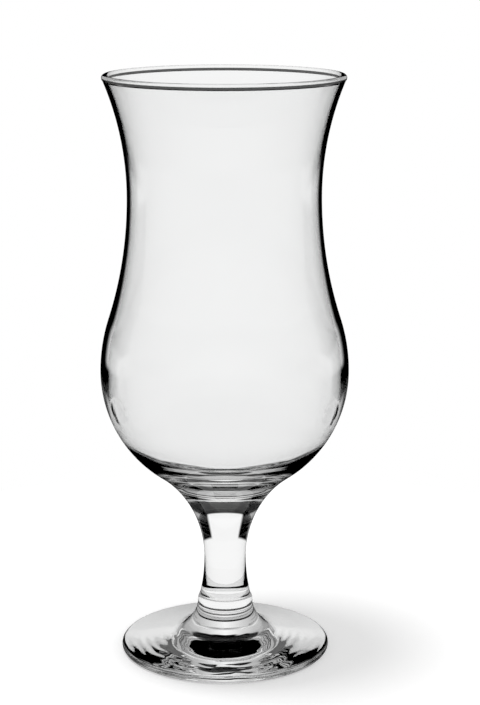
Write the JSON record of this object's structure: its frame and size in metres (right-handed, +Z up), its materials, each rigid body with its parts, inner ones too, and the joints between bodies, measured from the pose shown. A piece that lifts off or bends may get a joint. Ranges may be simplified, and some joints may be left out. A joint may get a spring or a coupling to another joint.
{
  "type": "hurricane glass",
  "caption": "Clear stemmed cocktail glass with a flared lip, a waist, a round belly, a short solid stem with a collar, and a round foot.",
  "frame": {"origin": "centre of the foot's underside, on the table", "axes": "+Z up along the glass's own axis, from the foot to the lip"},
  "size_m": [0.0846, 0.0846, 0.2],
  "materials": {
    "clear_glass": "fire-polished clear soda-lime glass"
  },
  "bodies": {
    "root": {"bowl": "clear_glass", "stem": "clear_glass", "collar": "clear_glass", "foot": "clear_glass"}
  },
  "joints": []
}
